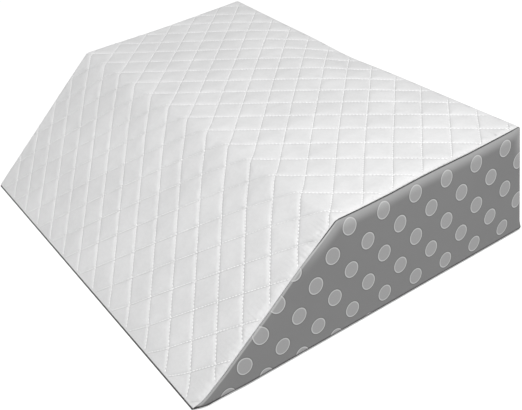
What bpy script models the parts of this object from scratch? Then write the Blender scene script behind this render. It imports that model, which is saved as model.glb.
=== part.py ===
"""Leg-raising wedge pillow: a foam block with a quilted top and slope, and plain sewn panels on its other sides.

Metres, Z up. X runs along the width, Y from the low front tip to the high back, and Z=0 is the surface it lies on.
"""

import math

import bmesh
import bpy
from mathutils import Vector

# The block seen from its side
WIDTH = 0.610
HEIGHT = 0.156
DEPTH = 0.488
FOLD_Y = 0.192
BACK_LEAN = 0.017
TIP_OVERRUN = -0.0007

# The fillets along the width
TIP_RADIUS = 0.0015
FOLD_RADIUS = 0.010
REAR_TOP_RADIUS = 0.004
REAR_FOOT_RADIUS = 0.004

# The cloth panels that are sewn round the quilted block
PANEL_THICKNESS = 0.0016
PANEL_GAP = 0.0003

# The quilting, squares standing on a corner, so its pitch is their diagonal
TOP_PITCH = 0.0469
SLOPE_PITCH = 0.05015
CROSS_PITCH = 0.0481
QUILT_FOLD = 0.246
FOLD_ROW = 0.387
COLUMN_SHIFT = 0.0176
SLIPS = ((0.020, 0.00665), (0.200, 0.0), (0.262, 0.00525), (0.507, -0.0091))
PUFF = 0.0020
PUFF_FADE = 0.010
STEPS_PER_PITCH = 4

# The filled block's own bulge, and how far the seams draw its edges in
CROWN = 0.0014
RISE = 0.0005
LEFT_DROPS = ((0.0, 0.0007), (0.050, 0.0012), (0.519, 0.0010))
RIGHT_DROPS = (
    (0.0, 0.0008),
    (0.050, 0.0042),
    (0.125, 0.0042),
    (0.185, 0.0010),
    (0.250, 0.0010),
    (0.325, 0.0042),
    (0.440, 0.0042),
    (0.519, 0.0010),
)
EDGE_REACH = 0.010
EDGE_COLUMNS = (0.0, 0.0025, 0.0060)
TIP_DRAWN_IN = 0.006
TIP_DRAW_REACH = 0.150
TIP_SKEW = 0.0015
TIP_SKEW_REACH = 0.120
LEFT_SHOULDER_OUT = 0.007
RIGHT_SHOULDER_OUT = 0.004
SHOULDER_SPREAD = 0.090
RIGHT_OUT = 0.0015
REAR_RIGHT_OUT = 0.0030
REAR_RIGHT_FROM = 0.300
REAR_SAG = 0.0035
REAR_SAG_REACH = 0.070
REAR_DIP = 0.0033
REAR_DIP_X = -0.005
REAR_DIP_SPREAD = 0.060
EAR_UP = 0.0044
EAR_BACK = 0.0020
EAR_ACROSS = 0.400
EAR_ALONG = 0.280

FILLET_STEPS = 4
WELD = 1e-6

SKIN = PANEL_THICKNESS + PANEL_GAP
HALF_BODY = WIDTH / 2 - SKIN

# Where the side outline of the block turns: name, y, z, fillet radius
CORNERS = (
    ("tip", -TIP_OVERRUN, SKIN, TIP_RADIUS),
    ("fold", FOLD_Y, HEIGHT + RISE, FOLD_RADIUS),
    ("rear_top", DEPTH - BACK_LEAN - SKIN, HEIGHT + RISE, REAR_TOP_RADIUS),
    ("rear_foot", DEPTH - SKIN, SKIN, REAR_FOOT_RADIUS),
)

MATERIALS = {
    "white_quilted_cloth": ((0.86, 0.86, 0.87), 0.85),
    "grey_dotted_cloth": ((0.22, 0.22, 0.22), 0.80),
    "grey_base_cloth": ((0.16, 0.16, 0.165), 0.90),
}


def outline_pieces():
    """The side outline as straight runs and arcs, starting where the underside meets the tip."""
    pieces = []
    count = len(CORNERS)
    points = [Vector((y, z)) for _, y, z, _ in CORNERS]
    for i, (name, _, _, radius) in enumerate(CORNERS):
        here = points[i]
        back = (points[i - 1] - here).normalized()
        ahead = (points[(i + 1) % count] - here).normalized()
        half = back.angle(ahead) / 2
        reach = radius / math.tan(half)
        centre = here + (back + ahead).normalized() * (radius / math.sin(half))
        start, end = here + back * reach, here + ahead * reach
        pieces.append(
            {
                "name": name,
                "start": start,
                "end": end,
                "centre": centre,
                "radius": radius,
                "turn": math.pi - 2 * half,
            }
        )
    at = 0.0
    for i, piece in enumerate(pieces):
        piece["arc_from"] = at
        piece["arc_to"] = at + piece["radius"] * piece["turn"]
        piece["run_to"] = piece["arc_to"] + (pieces[(i + 1) % count]["start"] - piece["end"]).length
        at = piece["run_to"]
    return pieces


PIECES = outline_pieces()
BY_NAME = {piece["name"]: piece for piece in PIECES}
GIRTH = PIECES[-1]["run_to"]
FOLD_S = (BY_NAME["fold"]["arc_from"] + BY_NAME["fold"]["arc_to"]) / 2
SLOPE_FROM = BY_NAME["tip"]["arc_to"]
TOP_TO = BY_NAME["fold"]["run_to"]


def on_outline(s):
    """The point of the side outline at the distance s round it, and its outward direction."""
    for i, piece in enumerate(PIECES):
        if s > piece["run_to"]:
            continue
        if s <= piece["arc_to"]:
            spoke = piece["start"] - piece["centre"]
            turned = (s - piece["arc_from"]) / piece["radius"]
            cos, sin = math.cos(-turned), math.sin(-turned)
            spoke = Vector((spoke.x * cos - spoke.y * sin, spoke.x * sin + spoke.y * cos))
            return piece["centre"] + spoke, spoke.normalized()
        ahead = (PIECES[(i + 1) % len(PIECES)]["start"] - piece["end"]).normalized()
        return piece["end"] + ahead * (s - piece["arc_to"]), Vector((-ahead.y, ahead.x))
    return on_outline(s - GIRTH)


def pitch_at(past):
    """The quilting's pitch at a distance past the fold, or before it where that is negative."""
    return TOP_PITCH if past >= 0 else SLOPE_PITCH


def quilt_row(s):
    """How many pitches of quilting lie before the distance s, counted from near the fold."""
    return FOLD_ROW + (s - QUILT_FOLD) / pitch_at(s - QUILT_FOLD)


def row_place(row):
    """The distance round the outline of a quilting row, the reverse of quilt_row."""
    return QUILT_FOLD + (row - FOLD_ROW) * pitch_at(row - FOLD_ROW)


def interpolated(s, stations):
    """The value at s on straight runs between stations, each a place and its value."""
    if s <= stations[0][0]:
        return stations[0][1]
    for (start, first), (end, last) in zip(stations, stations[1:]):
        if s <= end:
            return first + (last - first) * (s - start) / (end - start)
    return stations[-1][1]


def slipped(x, s):
    """Where a column of the quilting lies at the distance s: the cloth has slipped a little sideways."""
    if not SLOPE_FROM <= s <= TOP_TO:
        return x
    return x + interpolated(s, SLIPS) * max(0.0, 1 - (x / HALF_BODY) ** 8)


def eased(distance, reach):
    """0 at a seam, rising to 1 at reach from it."""
    t = min(max(distance / reach, 0.0), 1.0)
    return t * t * (3 - 2 * t)


def edge_drop(x, s):
    """How far the cloth falls towards the seam at an end of the block."""
    full = interpolated(s, LEFT_DROPS if x < 0 else RIGHT_DROPS)
    inwards = 1 - min((HALF_BODY - abs(x)) / EDGE_REACH, 1.0)
    return full * (1 - math.sqrt(max(0.0, 1 - inwards * inwards)))


def relief(x, s, out):
    """The quilting and the crown of the block, outwards from the side outline. The underside stays flat."""
    drop = edge_drop(x, s) * eased(1 + out.y, 1.0)
    if not SLOPE_FROM <= s <= TOP_TO:
        return -drop
    column = (x - COLUMN_SHIFT) / CROSS_PITCH
    row = quilt_row(s)
    puff = abs(math.sin(math.pi * (column + row)) * math.sin(math.pi * (column - row))) ** 0.5
    if s < FOLD_S:
        along = (s - SLOPE_FROM) / (FOLD_S - SLOPE_FROM)
    else:
        along = (s - FOLD_S) / (TOP_TO - FOLD_S)
    across = 1 - (2 * x / WIDTH) ** 4
    crown = CROWN * max(0.0, math.sin(math.pi * along)) * max(0.0, across)
    ends = min(s - SLOPE_FROM, TOP_TO - s, HALF_BODY - abs(x))
    return crown + (PUFF * puff - PUFF / 2) * eased(ends, PUFF_FADE) - drop


def column_places():
    """The stations across the width: the quilting's own, and closer ones beside each seam."""
    step = CROSS_PITCH / STEPS_PER_PITCH
    clear = EDGE_COLUMNS[-1] + step / 4
    reach = int(WIDTH / step)
    inner = [COLUMN_SHIFT + k * step for k in range(-reach, reach)]
    inner = [x for x in inner if abs(x) < HALF_BODY - clear]
    left = [-HALF_BODY + u for u in EDGE_COLUMNS]
    right = [HALF_BODY - u for u in reversed(EDGE_COLUMNS)]
    return left + inner + right


def row_places():
    """The stations round the outline: fillets, the ends of each run, and the quilting rows."""
    places = set()
    for piece in PIECES:
        if piece["name"] != "fold":
            for k in range(FILLET_STEPS + 1):
                share = k / FILLET_STEPS
                places.add(piece["arc_from"] + share * (piece["arc_to"] - piece["arc_from"]))
    clear = TOP_PITCH / STEPS_PER_PITCH / 4
    for k in range(-8 * STEPS_PER_PITCH, 8 * STEPS_PER_PITCH):
        s = row_place(k / STEPS_PER_PITCH)
        if SLOPE_FROM + clear < s < TOP_TO - clear:
            places.add(s)
    return sorted(places)


def half_width(left, y, high):
    """Half the block's width at a depth and a share of the height."""
    if left:
        drawn = max(0.0, 1 - max(y, 0.0) / TIP_DRAW_REACH) ** 2
        half = WIDTH / 2 - TIP_DRAWN_IN * drawn
        shoulder = LEFT_SHOULDER_OUT
    else:
        half = WIDTH / 2 + RIGHT_OUT + REAR_RIGHT_OUT * high * eased(y - REAR_RIGHT_FROM, 0.17)
        shoulder = RIGHT_SHOULDER_OUT
    return half + shoulder * high * math.exp(-(((y - FOLD_Y) / SHOULDER_SPREAD) ** 2))


def settled(point):
    """The block as it lies: the tip drawn in, the shoulders out, the rear edge sagging, one corner up."""
    x, y, z = point
    high = z / HEIGHT
    half = half_width(x < 0, y, high)
    skew = TIP_SKEW * x / (WIDTH / 2) * max(0.0, 1 - max(y, 0.0) / TIP_SKEW_REACH)
    rear_edge = DEPTH - BACK_LEAN
    near_rear = eased(y - (rear_edge - REAR_SAG_REACH), REAR_SAG_REACH)
    broad = REAR_SAG * math.cos(min(abs(x) / WIDTH, 0.5) * math.pi)
    dip = REAR_DIP * math.exp(-(((x - REAR_DIP_X) / REAR_DIP_SPREAD) ** 2))
    from_ear = math.hypot((x + WIDTH / 2) / EAR_ACROSS, (y - rear_edge) / EAR_ALONG)
    ear = max(0.0, 1 - from_ear) ** 1.5 * high
    return Vector(
        (
            x * half / (WIDTH / 2),
            y - DEPTH / 2 - skew + EAR_BACK * ear,
            z - (broad + dip) * near_rear * high + EAR_UP * ear,
        )
    )


def settle_vertices(bm):
    for vert in bm.verts:
        vert.co = settled(vert.co)


def split_along_quilting(bm, columns, rows, column_of, row_of):
    """Cuts each four-sided face of the slope and top along the quilting's diagonal."""
    for face in list(bm.faces):
        marks = {}
        for vert in face.verts:
            column = (columns[vert[column_of]] - COLUMN_SHIFT) / CROSS_PITCH
            row = quilt_row(rows[vert[row_of]])
            marks[round(column * STEPS_PER_PITCH), round(row * STEPS_PER_PITCH)] = vert
        i, j = min(marks)
        if (i + j) % 2:
            pair = (i, j + 1), (i + 1, j)
        else:
            pair = (i, j), (i + 1, j + 1)
        if len(face.verts) == 4 and all(key in marks for key in pair):
            bmesh.utils.face_split(face, marks[pair[0]], marks[pair[1]])


def rolled_block():
    """The filled block's skin, unsettled: a sheet rolled round the outline, with both ends filled.

    It returns the skin and the faces of each side that a plain panel covers.
    """
    columns, rows = column_places(), row_places()
    across, around = len(columns), len(rows)
    bm = bmesh.new()
    column_of = bm.verts.layers.int.new("column")
    row_of = bm.verts.layers.int.new("row")
    bmesh.ops.create_grid(bm, x_segments=across - 1, y_segments=around, size=0.5)
    for vert in bm.verts:
        vert[column_of] = round((vert.co.x + 0.5) * (across - 1))
        vert[row_of] = round((vert.co.y + 0.5) * around) % around
        x, s = columns[vert[column_of]], rows[vert[row_of]]
        place, out = on_outline(s)
        place = place + out * relief(x, s, out)
        vert.co = (slipped(x, s), place.x, place.y)
    split_along_quilting(bm, columns, rows, column_of, row_of)
    bmesh.ops.remove_doubles(bm, verts=bm.verts, dist=WELD)
    ends = bmesh.ops.holes_fill(bm, edges=[e for e in bm.edges if e.is_boundary])["faces"]
    bmesh.ops.poke(bm, faces=ends)
    bmesh.ops.triangulate(bm, faces=bm.faces)
    bmesh.ops.recalc_face_normals(bm, faces=bm.faces)
    underside = [rows.index(BY_NAME["rear_foot"]["arc_to"]), 0]
    behind = [rows.index(BY_NAME["rear_top"]["arc_to"]), rows.index(BY_NAME["rear_foot"]["arc_from"])]
    sides = {"left": [], "right": [], "base": [], "back": []}
    for face in bm.faces:
        if abs(face.normal.x) > 0.99:
            sides["left" if face.normal.x < 0 else "right"].append(face.index)
        elif all(vert[row_of] in underside for vert in face.verts):
            sides["base"].append(face.index)
        elif all(vert[row_of] in behind for vert in face.verts):
            sides["back"].append(face.index)
    return bm, sides


def panel_over(skin, chosen, outwards):
    """A plain cloth panel over some faces of the unsettled skin, PANEL_GAP away from them."""
    bm = skin.copy()
    bm.faces.ensure_lookup_table()
    kept = set(chosen)
    loose = [face for face in bm.faces if face.index not in kept]
    bmesh.ops.delete(bm, geom=loose, context="FACES")
    bmesh.ops.translate(bm, verts=bm.verts, vec=outwards * PANEL_GAP)
    inner = bm.faces[:]
    grown = bmesh.ops.extrude_face_region(bm, geom=inner, use_keep_orig=True)["geom"]
    outer = [item for item in grown if isinstance(item, bmesh.types.BMVert)]
    bmesh.ops.translate(bm, verts=outer, vec=outwards * PANEL_THICKNESS)
    bmesh.ops.recalc_face_normals(bm, faces=bm.faces)
    return bm


def cloth_material(name):
    colour, roughness = MATERIALS[name]
    material = bpy.data.materials.new(name)
    material.use_nodes = True
    surface = material.node_tree.nodes["Principled BSDF"]
    surface.inputs["Base Color"].default_value = (*colour, 1.0)
    surface.inputs["Roughness"].default_value = roughness
    surface.inputs["Metallic"].default_value = 0.0
    return material


def finished(bm, name, material_name, collection, smooth):
    """The settled piece as an object of its own."""
    settle_vertices(bm)
    mesh = bpy.data.meshes.new(name)
    bm.to_mesh(mesh)
    bm.free()
    for polygon in mesh.polygons:
        polygon.use_smooth = smooth
    mesh.materials.append(cloth_material(material_name))
    piece = bpy.data.objects.new(name, mesh)
    collection.objects.link(piece)
    return piece


def centre_on_floor(pieces):
    """Moves all the pieces so that the middle of the underside's box is the origin."""
    points = [vert.co for piece in pieces for vert in piece.data.vertices]
    low = Vector([min(p[k] for p in points) for k in range(3)])
    high = Vector([max(p[k] for p in points) for k in range(3)])
    shift = Vector((-(low.x + high.x) / 2, -(low.y + high.y) / 2, -low.z))
    for piece in pieces:
        for vert in piece.data.vertices:
            vert.co += shift


def main():
    for old in list(bpy.data.objects):
        bpy.data.objects.remove(old)
    pillow = bpy.data.collections.new("wedge_pillow")
    bpy.context.scene.collection.children.link(pillow)
    skin, sides = rolled_block()
    behind = Vector((0, HEIGHT, BACK_LEAN)).normalized()
    panels = (
        ("side_panel_left", "left", Vector((-1, 0, 0)), "grey_dotted_cloth"),
        ("side_panel_right", "right", Vector((1, 0, 0)), "grey_dotted_cloth"),
        ("back_panel", "back", behind, "grey_dotted_cloth"),
        ("base_panel", "base", Vector((0, 0, -1)), "grey_base_cloth"),
    )
    pieces = []
    for name, side, outwards, material_name in panels:
        cloth = panel_over(skin, sides[side], outwards)
        pieces.append(finished(cloth, name, material_name, pillow, False))
    pieces.append(finished(skin, "quilted_block", "white_quilted_cloth", pillow, True))
    centre_on_floor(pieces)


main()
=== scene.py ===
# %% [markdown]
# # A leg-raising wedge pillow in Blender
# A foam wedge lies on its flat base. A white quilted cover wraps its slope and its top. Plain grey
# cloth with pale dots closes the two ends and the back, and a darker cloth closes the underside.
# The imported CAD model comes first: it fixes the size and the place of everything that follows.

import math

import bmesh
import bpy
import numpy as np
from mathutils import Matrix, Vector
from mathutils.geometry import delaunay_2d_cdt


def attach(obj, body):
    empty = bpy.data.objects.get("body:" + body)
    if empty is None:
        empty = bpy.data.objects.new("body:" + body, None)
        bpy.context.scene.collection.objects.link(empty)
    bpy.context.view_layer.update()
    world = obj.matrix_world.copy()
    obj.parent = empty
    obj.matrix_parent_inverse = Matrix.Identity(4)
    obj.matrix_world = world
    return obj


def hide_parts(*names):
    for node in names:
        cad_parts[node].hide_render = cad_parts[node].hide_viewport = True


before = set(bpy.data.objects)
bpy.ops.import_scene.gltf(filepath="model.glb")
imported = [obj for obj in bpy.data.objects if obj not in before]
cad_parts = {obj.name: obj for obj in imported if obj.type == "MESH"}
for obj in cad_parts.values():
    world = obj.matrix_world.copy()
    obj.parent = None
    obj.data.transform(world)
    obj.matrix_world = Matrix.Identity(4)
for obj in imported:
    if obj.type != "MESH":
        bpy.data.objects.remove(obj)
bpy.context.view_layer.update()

# %% [markdown]
# ## The camera
# The camera is settled first, because every choice of detail depends on how large a millimetre
# looks. It could be placed by eye, but a fit to the seven corners that the picture shows gives its
# place, its turn and its lens at once, so those numbers are used here.

# %% Place the camera
CAMERA_PLACE = (0.8869, -0.47615, 0.6544)
CAMERA_RIGHT = (0.56211, 0.82047, -0.10427)
CAMERA_DOWN = (0.40801, -0.38475, -0.82795)
CAMERA_AHEAD = (-0.71942, 0.42285, -0.55103)
LENS_MM = 58.39
SHIFT = (-0.0015, 0.0029)


def photo_camera():
    """The camera whose frame matches the picture's."""
    data = bpy.data.cameras.new("photo_camera")
    data.sensor_width = 36.0
    data.lens = LENS_MM
    data.shift_x, data.shift_y = SHIFT
    data.clip_start, data.clip_end = 0.01, 50.0
    camera = bpy.data.objects.new("photo_camera", data)
    right, up, back = Vector(CAMERA_RIGHT), -Vector(CAMERA_DOWN), -Vector(CAMERA_AHEAD)
    turn = Matrix((right, up, back)).transposed()
    camera.matrix_world = Matrix.Translation(CAMERA_PLACE) @ turn.to_4x4()
    bpy.context.scene.collection.objects.link(camera)
    bpy.context.scene.camera = camera
    return camera


camera = photo_camera()
print("camera at", [round(v, 3) for v in camera.location])

# %% [markdown]
# ## The side outline of the foam
# A wedge of foam is cut on a wire saw, so its shape is one outline pushed along the width. Here the
# outline is kept as straight runs and round corners, and every place on the cover is found from two
# distances: across the width, and round the outline. The same sizes made the CAD model.

# %% The outline as runs and arcs
WIDTH = 0.610
HEIGHT = 0.156
DEPTH = 0.488
FOLD_Y = 0.192
BACK_LEAN = 0.017
TIP_OVERRUN = 0.0008
CROWN = 0.0014
PANEL_THICKNESS = 0.0016
PANEL_GAP = 0.0003
SKIN = PANEL_THICKNESS + PANEL_GAP
ROLL_OVER = 0.0008
HALF_BODY = WIDTH / 2 - SKIN - ROLL_OVER
CORNERS = (
    ("tip", -TIP_OVERRUN, SKIN, 0.0012),
    ("fold", FOLD_Y, HEIGHT + 0.0005, 0.010),
    ("rear_top", DEPTH - BACK_LEAN - SKIN, HEIGHT + 0.0005, 0.004),
    ("rear_foot", DEPTH - SKIN, SKIN, 0.003),
)


def outline_pieces():
    """The side outline as straight runs and arcs, starting where the underside meets the tip."""
    pieces = []
    count = len(CORNERS)
    points = [Vector((y, z)) for _, y, z, _ in CORNERS]
    for i, (name, _, _, radius) in enumerate(CORNERS):
        here = points[i]
        back = (points[i - 1] - here).normalized()
        ahead = (points[(i + 1) % count] - here).normalized()
        half = back.angle(ahead) / 2
        reach = radius / math.tan(half)
        centre = here + (back + ahead).normalized() * (radius / math.sin(half))
        piece = {"name": name, "start": here + back * reach, "end": here + ahead * reach}
        piece.update(centre=centre, radius=radius, turn=math.pi - 2 * half)
        pieces.append(piece)
    at = 0.0
    for i, piece in enumerate(pieces):
        piece["arc_from"] = at
        piece["arc_to"] = at + piece["radius"] * piece["turn"]
        ahead = pieces[(i + 1) % count]["start"] - piece["end"]
        piece["run_to"] = piece["arc_to"] + ahead.length
        at = piece["run_to"]
    return pieces


PIECES = outline_pieces()
BY_NAME = {piece["name"]: piece for piece in PIECES}
GIRTH = PIECES[-1]["run_to"]
FOLD_S = (BY_NAME["fold"]["arc_from"] + BY_NAME["fold"]["arc_to"]) / 2
SLOPE_FROM = BY_NAME["tip"]["arc_to"]
TOP_TO = BY_NAME["fold"]["run_to"]


def on_outline(s):
    """Places (n, 2) on the side outline at the distances s round it, and the outward directions."""
    s = np.mod(np.asarray(s, float), GIRTH)
    place = np.zeros((len(s), 2))
    out = np.zeros((len(s), 2))
    for i, piece in enumerate(PIECES):
        arc = (s >= piece["arc_from"]) & (s <= piece["arc_to"])
        spoke = piece["start"] - piece["centre"]
        turned = -(s[arc] - piece["arc_from"]) / piece["radius"]
        cos, sin = np.cos(turned), np.sin(turned)
        spokes = np.c_[spoke.x * cos - spoke.y * sin, spoke.x * sin + spoke.y * cos]
        place[arc] = np.array(piece["centre"]) + spokes
        out[arc] = spokes / piece["radius"]
        run = (s > piece["arc_to"]) & (s <= piece["run_to"])
        ahead = (PIECES[(i + 1) % len(PIECES)]["start"] - piece["end"]).normalized()
        place[run] = np.array(piece["end"]) + np.outer(s[run] - piece["arc_to"], ahead)
        out[run] = (-ahead.y, ahead.x)
    return place, out


print("round the outline:", round(GIRTH, 4), "m, of which quilted:", round(TOP_TO - SLOPE_FROM, 4))

# %% [markdown]
# ## How the filled block lies
# Cloth never keeps a foam block's exact shape. The thin tip is drawn in, the shoulders at the fold
# bulge a little, the rear edge sags where the foam is soft, and the rear left corner stands up like
# an ear. A lattice modifier could do this, but a formula gives every piece the same move, so that
# the pieces still meet. It goes on last.

# %% Settle every piece the same way
TIP_DRAWN_IN = 0.006
TIP_DRAW_REACH = 0.150
TIP_CORNER_IN = 0.006
TIP_CORNER_REACH = 0.020
TIP_SKEW = 0.0015
TIP_SKEW_REACH = 0.120
SHOULDERS_OUT = (0.007, 0.0055)
SHOULDER_SPREAD = 0.090
RIGHT_OUT = 0.0015
REAR_RIGHT_OUT = 0.0030
REAR_RIGHT_FROM = 0.300
REAR_RIGHT_REACH = 0.17
REAR_SAG = 0.0035
REAR_DIP = 0.0033
REAR_DIP_X = -0.005
REAR_DIP_SPREAD = 0.060
REAR_SAG_REACH = 0.070
EAR_UP = 0.0044
EAR_BACK = 0.0020
EAR_REACH = (0.400, 0.280)
EAR_SHARPNESS = 1.5
CENTRE_Y = 0.00043


def eased(distance, reach):
    """0 at a seam, rising to 1 at reach from it."""
    t = np.clip(np.asarray(distance, float) / reach, 0.0, 1.0)
    return t * t * (3 - 2 * t)


def settled(points):
    """Points (n, 3) of the straight block moved to where the filled pillow has them."""
    x, y, z = points[:, 0], points[:, 1], points[:, 2]
    high = z / HEIGHT
    left = x < 0
    drawn = np.clip(1 - np.maximum(y, 0) / TIP_DRAW_REACH, 0, 1) ** 2
    half = WIDTH / 2 + np.where(left, -TIP_DRAWN_IN * drawn, RIGHT_OUT)
    corner = np.clip(1 - np.maximum(y, 0) / TIP_CORNER_REACH, 0, 1) ** 2
    half -= np.where(left, 0, TIP_CORNER_IN * corner)
    shoulder = np.where(left, *SHOULDERS_OUT)
    half += shoulder * high * np.exp(-(((y - FOLD_Y) / SHOULDER_SPREAD) ** 2))
    half += np.where(left, 0, REAR_RIGHT_OUT) * high * eased(y - REAR_RIGHT_FROM, REAR_RIGHT_REACH)
    skew = TIP_SKEW * x / (WIDTH / 2) * np.clip(1 - np.maximum(y, 0) / TIP_SKEW_REACH, 0, 1)
    rear_edge = DEPTH - BACK_LEAN
    near_rear = eased(y - (rear_edge - REAR_SAG_REACH), REAR_SAG_REACH)
    broad = REAR_SAG * np.cos(np.clip(x / WIDTH, -0.5, 0.5) * math.pi)
    dip = REAR_DIP * np.exp(-(((x - REAR_DIP_X) / REAR_DIP_SPREAD) ** 2))
    from_ear = np.hypot((x + WIDTH / 2) / EAR_REACH[0], (y - rear_edge) / EAR_REACH[1])
    ear = np.clip(1 - from_ear, 0, 1) ** EAR_SHARPNESS * high
    moved_x = x * half / (WIDTH / 2)
    moved_y = y - DEPTH / 2 + CENTRE_Y - skew + EAR_BACK * ear
    moved_z = z - (broad + dip) * near_rear * high + EAR_UP * ear
    return np.c_[moved_x, moved_y, moved_z]


print("moved in depth to sit on the CAD:", CENTRE_Y * 1000, "mm")

# %% [markdown]
# ## Helpers for meshes
# Each piece ends as a plain mesh whose object sits at the origin. These helpers turn arrays into
# meshes and read them back, which is far quicker than moving one vertex at a time.

# %% From arrays to objects and back
def object_of(bm, name, smooth=True):
    """The bmesh as a new object in the scene."""
    mesh = bpy.data.meshes.new(name)
    bm.to_mesh(mesh)
    bm.free()
    mesh.polygons.foreach_set("use_smooth", [smooth] * len(mesh.polygons))
    piece = bpy.data.objects.new(name, mesh)
    bpy.context.scene.collection.objects.link(piece)
    return piece


def places_of(mesh):
    co = np.empty(len(mesh.vertices) * 3)
    mesh.vertices.foreach_get("co", co)
    return co.reshape(-1, 3)


def move_to(mesh, places):
    mesh.vertices.foreach_set("co", np.asarray(places, float).ravel())
    mesh.update()


def give_cloth_map(mesh, places):
    """A UV map in metres along the cloth, from one flat place for each vertex."""
    uv = mesh.uv_layers.new(name="cloth")
    corners = np.empty(len(mesh.loops), int)
    mesh.loops.foreach_get("vertex_index", corners)
    uv.data.foreach_set("uv", np.asarray(places, float)[corners].ravel())


def give_numbers(mesh, name, numbers):
    """An attribute that a finish reads, with one number for each vertex."""
    layer = mesh.attributes.new(name, "FLOAT", "POINT")
    layer.data.foreach_set("value", np.asarray(numbers, float))


def face_outwards(mesh):
    bm = bmesh.new()
    bm.from_mesh(mesh)
    bmesh.ops.recalc_face_normals(bm, faces=bm.faces)
    bm.to_mesh(mesh)
    bm.free()


def flattened(piece):
    """The piece with its modifiers made part of a plain mesh."""
    graph = bpy.context.evaluated_depsgraph_get()
    graph.update()
    mesh = bpy.data.meshes.new_from_object(piece.evaluated_get(graph), depsgraph=graph)
    old = piece.data
    piece.modifiers.clear()
    piece.data = mesh
    mesh.name = piece.name
    bpy.data.meshes.remove(old)
    return piece


def waves(x, y, seed, terms, longest, shortest):
    """A smooth random wave over two coordinates in metres, about -1 to 1."""
    draw = np.random.default_rng(seed)
    total = np.zeros_like(x)
    for _ in range(terms):
        length = math.exp(draw.uniform(math.log(shortest), math.log(longest)))
        angle = draw.uniform(0, 2 * math.pi)
        phase = draw.uniform(0, 2 * math.pi)
        k = 2 * math.pi / length
        total += np.sin(k * (x * math.cos(angle) + y * math.sin(angle)) + phase)
    return total / math.sqrt(terms)


# %% [markdown]
# ## The quilted cover: a mesh that follows its stitching
# The cover is a sheet of cloth with a thin filling, sewn through in squares that stand on a corner.
# On a mesh whose edges run along the width, slanting stitch lines would look like stairs. So this
# mesh is laid out along the stitching itself, with rows packed close beside each line of thread and
# far apart in the middle of a square. Its border is then trimmed along the four seams, with a few
# more mesh lines beside the long ones, where the cloth turns most. The pattern slips sideways over
# the fold, so its lean is read from a few stations round the outline.

# %% The quilting's two families of lines
TOP_PITCH = 0.0469
SLOPE_PITCH = 0.05015
CROSS_PITCH = 0.0481
QUILT_FOLD = 0.246
FOLD_ROW = 0.387
LEAN_STATIONS = (0.020, 0.200, 0.262, 0.507)
LEANS = (0.02425, 0.0176, 0.02285, 0.0085)
SQUARE_STATIONS = (0.0, 0.028, 0.065, 0.12, 0.21, 0.34, 0.5, 0.66, 0.79, 0.88, 0.935, 0.972)
LINE_NUMBERS = range(-13, 14)
LINE_GAP = CROSS_PITCH / math.sqrt(2)
SPARE = 0.006
SEAM_LINES = (0.0006, 0.0018, 0.0040, 0.0075)


def quilt_row(s):
    """How many pitches of quilting lie before the distance s, counted from near the fold."""
    past = s - QUILT_FOLD
    return FOLD_ROW + past / np.where(past >= 0, TOP_PITCH, SLOPE_PITCH)


def row_place(row):
    """The distance round the outline of a quilting row, the reverse of quilt_row."""
    past = row - FOLD_ROW
    return QUILT_FOLD + past * np.where(past >= 0, TOP_PITCH, SLOPE_PITCH)


def lean(s):
    """How far the pattern has slipped sideways on the block at a distance s."""
    return np.interp(s, LEAN_STATIONS, LEANS)


def lattice_of(x, s):
    """The two line numbers at a place: whole values of either one are stitch lines."""
    column = (x - lean(s)) / CROSS_PITCH
    row = quilt_row(s)
    return column + row, column - row


def cut(bm, place, direction, near, trim=False):
    """New mesh lines along a plane, and with trim nothing left beyond it."""
    whole = bm.verts[:] + bm.edges[:] + bm.faces[:]
    plane = {"plane_co": place, "plane_no": direction, "clear_outer": trim}
    bmesh.ops.bisect_plane(bm, geom=whole, dist=near, **plane)


def quilted_sheet():
    """The cover's slope and top laid out flat, X across and Y round the outline, trimmed."""
    lines = (np.array(LINE_NUMBERS)[:, None] + np.array(SQUARE_STATIONS)).ravel()
    u, v = np.meshgrid(lines, lines, indexing="ij")
    s = row_place((u - v) / 2)
    x = lean(s) + (u + v) / 2 * CROSS_PITCH
    inside = (np.abs(x) < HALF_BODY + SPARE) & (s > SLOPE_FROM - SPARE) & (s < TOP_TO + SPARE)
    cell = inside[:-1, :-1] | inside[1:, :-1] | inside[:-1, 1:] | inside[1:, 1:]
    number = np.arange(u.size).reshape(u.shape)
    corners = (number[:-1, :-1], number[1:, :-1], number[1:, 1:], number[:-1, 1:])
    quads = np.stack([corner[cell] for corner in corners], axis=1)
    used, renamed = np.unique(quads, return_inverse=True)
    places = np.c_[x.ravel()[used], s.ravel()[used], np.zeros(len(used))]
    mesh = bpy.data.meshes.new("sheet")
    mesh.from_pydata(places.tolist(), [], renamed.reshape(quads.shape)[:, ::-1].tolist())
    bm = bmesh.new()
    bm.from_mesh(mesh)
    bpy.data.meshes.remove(mesh)
    for side in (1, -1):
        cut(bm, (side * HALF_BODY, 0, 0), (side, 0, 0), 1e-5, trim=True)
    for seam, outwards in ((SLOPE_FROM, -1), (TOP_TO, 1)):
        cut(bm, (0, seam, 0), (0, outwards, 0), 1e-5, trim=True)
    for inset in SEAM_LINES:
        for side in (1, -1):
            cut(bm, (side * (HALF_BODY - inset), 0, 0), (1, 0, 0), 2e-5)
    return bm


cover_bm = quilted_sheet()
print("flat quilted sheet:", len(cover_bm.verts), "vertices,", len(cover_bm.faces), "faces")

# %% [markdown]
# ## Close the cover round the foam
# The printed lattice only covers what is quilted. The rest of the block is plain and mostly hidden,
# so its border is simply pulled on round the back and the tip, and the holes are filled. A closed
# body is what a filled cushion needs, because the cloth solver's pressure has to be held in.

# %% Pull the borders round the block and fill the ends
ARC_STEPS = 5
BACK_STEPS = 10
TURN_IN = 0.0045
TURN_UNDER = 0.0018


def only(kind, items):
    return [item for item in items if isinstance(item, kind)]


def edges_at(edges, s, near):
    return [e for e in edges if all(abs(v.co.y - s) < near for v in e.verts)]


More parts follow.
